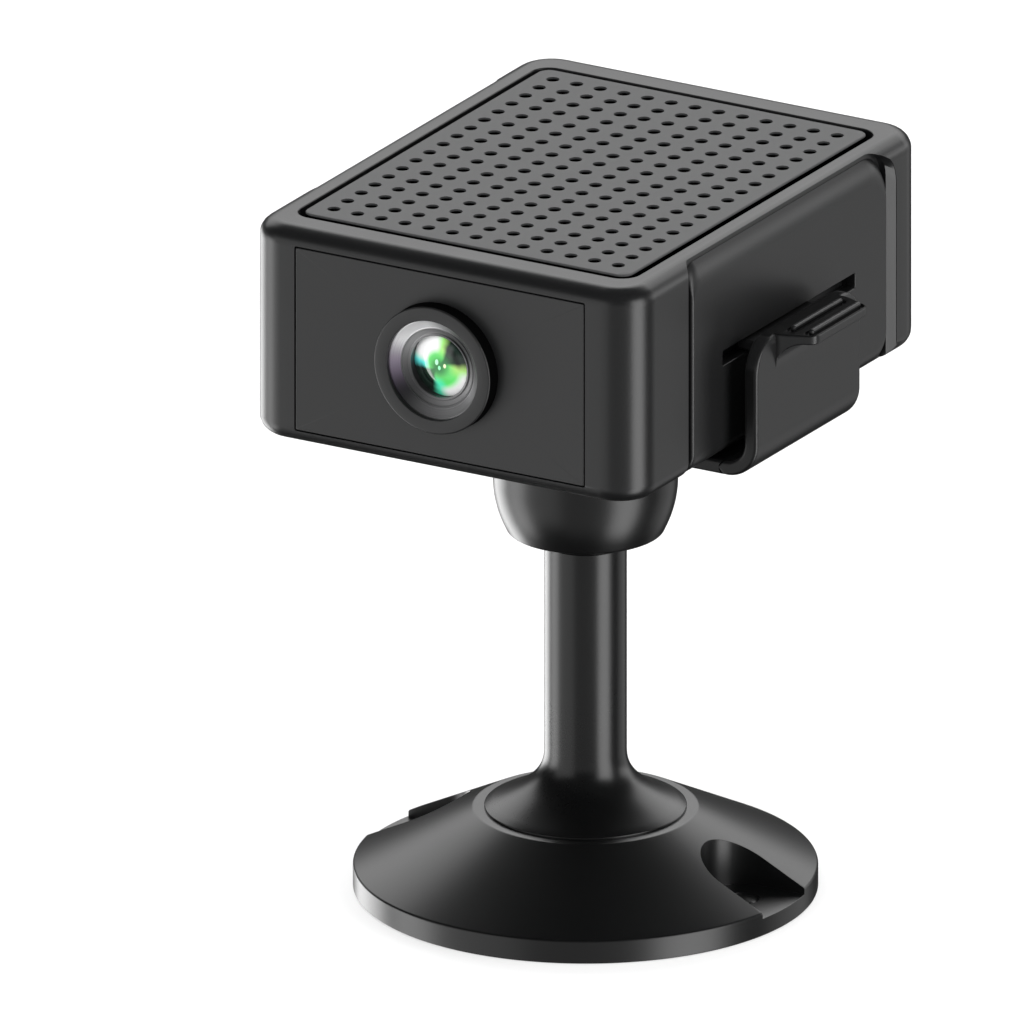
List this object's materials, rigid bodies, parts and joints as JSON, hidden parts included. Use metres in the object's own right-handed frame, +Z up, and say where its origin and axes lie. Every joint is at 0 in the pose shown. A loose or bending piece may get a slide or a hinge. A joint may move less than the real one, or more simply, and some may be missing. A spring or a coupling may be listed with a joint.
{
  "type": "security camera",
  "caption": "Small box-shaped security camera with a perforated top and front lens, clipped into a spring cradle on a ball-jointed stem with a round cone foot.",
  "frame": {"origin": "centre of the underside of the foot, on the stem axis", "axes": "+Z up along the stem, -Y the way the lens looks, +X to the right of a person who faces the lens"},
  "size_m": [0.0652, 0.0665, 0.0835],
  "materials": {
    "stand_plastic": "satin black moulded plastic",
    "sole_rubber": "black rubber",
    "weight_iron": "cast ring",
    "stand_metal": "satin black paint on turned metal",
    "steel": "plain steel",
    "band_plastic": "dark friction plastic",
    "seat_plastic": "natural acetal",
    "clip_plastic": "satin black springy plastic",
    "body_plastic": "satin black moulded plastic, very fine grain",
    "panel_plastic": "satin black moulded plastic, slightly lighter than the housing",
    "grille_plastic": "satin black, drilled plate",
    "mesh_fabric": "black woven dust mesh",
    "front_plastic": "smooth satin black infrared-clear panel",
    "ring_plastic": "satin black ring",
    "barrel_metal": "turned, dark anodised steps",
    "lens_glass": "polished, green anti-reflection coating",
    "inner_black": "black moulded plastic",
    "filter_glass": "coated infrared-cut filter",
    "chip_black": "moulded chip packages",
    "circuit_board": "green solder mask",
    "thermal_gel": "soft grey-blue pad",
    "sink_aluminium": "extruded fins",
    "module_can": "tinned shield",
    "antenna_copper": "copper on film",
    "battery_film": "blue shrink film",
    "lead_red": "wire insulation",
    "flex_film": "amber flat cable",
    "socket_steel": "plated socket shells",
    "card_plastic": "black card",
    "button_plastic": "satin dark grey",
    "light_plastic": "clear white light pipe"
  },
  "bodies": {
    "base": {"base_disc": "stand_plastic", "base_pad": "sole_rubber", "base_weight": "weight_iron", "stem": "stand_metal", "stem_screw": "steel", "stem_washer": "steel", "ball_stud": "stand_metal"},
    "band": {"friction_band": "band_plastic"},
    "cup": {"seat_cup": "seat_plastic"},
    "cradle": {"collar": "stand_plastic", "seat_spring": "steel", "cradle_plate": "clip_plastic", "cradle_pad": "sole_rubber"},
    "clip_left": {"clip_arm_left": "clip_plastic"},
    "clip_right": {"clip_arm_right": "clip_plastic"},
    "camera": {"housing": "body_plastic", "bottom_cover": "body_plastic", "cover_screws": "steel", "side_panel_left": "panel_plastic", "side_panel_right": "panel_plastic", "top_grille": "grille_plastic", "dust_mesh": "mesh_fabric", "front_panel": "front_plastic", "lens_ring": "ring_plastic", "lens_barrel": "barrel_metal", "front_lens": "lens_glass", "lens_spacer": "inner_black", "rear_lens": "lens_glass", "lens_retainer": "inner_black", "lens_holder": "inner_black", "ir_filter": "filter_glass", "image_sensor": "chip_black", "sensor_board": "circuit_board", "sensor_screws": "steel", "led_board": "circuit_board", "ir_leds": "chip_black", "light_sensor": "chip_black", "main_board": "circuit_board", "board_screws": "steel", "processor": "chip_black", "thermal_pad": "thermal_gel", "heat_sink": "sink_aluminium", "wifi_module": "module_can", "antenna": "antenna_copper", "speaker": "inner_black", "microphone": "module_can", "battery_pack": "battery_film", "battery_lead": "lead_red", "sensor_cable": "flex_film", "usb_port": "socket_steel", "card_slot": "socket_steel", "button_switch": "chip_black", "reset_switch": "chip_black", "light_pipe": "light_plastic"},
    "power": {"power_button": "button_plastic"},
    "reset": {"reset_button": "button_plastic"},
    "card": {"memory_card": "card_plastic"}
  },
  "joints": [
    {"name": "pan", "type": "hinge", "parent": "base", "child": "band", "pos_m": [0, 0, 0.04633], "axis": [0, 0, 1], "continuous": true},
    {"name": "tilt", "type": "hinge", "parent": "band", "child": "cup", "pos_m": [0, 0, 0.04633], "axis": [1, 0, 0], "range_deg": [-20, 20]},
    {"name": "spin", "type": "hinge", "parent": "cup", "child": "cradle", "pos_m": [0, 0, 0.04633], "axis": [0, 0, 1], "continuous": true},
    {"name": "clip_left_open", "type": "hinge", "parent": "cradle", "child": "clip_left", "pos_m": [-0.0244, 0, 0.05686], "axis": [0, -1, 0], "range_deg": [0, 10], "stiffness_Nm_per_rad": 0.05},
    {"name": "clip_right_open", "type": "hinge", "parent": "cradle", "child": "clip_right", "pos_m": [0.0244, 0, 0.05686], "axis": [0, 1, 0], "range_deg": [0, 10], "stiffness_Nm_per_rad": 0.05},
    {"name": "body_slide", "type": "slide", "parent": "cradle", "child": "camera", "axis": [0, 1, 0], "range_m": [-0.0095, 0.0048]},
    {"name": "power_press", "type": "slide", "parent": "camera", "child": "power", "axis": [0, -1, 0], "range_m": [0, 0.0004], "stiffness_N_per_m": 400},
    {"name": "reset_press", "type": "slide", "parent": "camera", "child": "reset", "axis": [0, -1, 0], "range_m": [0, 0.00025], "stiffness_N_per_m": 200},
    {"name": "card_slide", "type": "slide", "parent": "camera", "child": "card", "axis": [0, 1, 0], "range_m": [0, 0.012]}
  ]
}
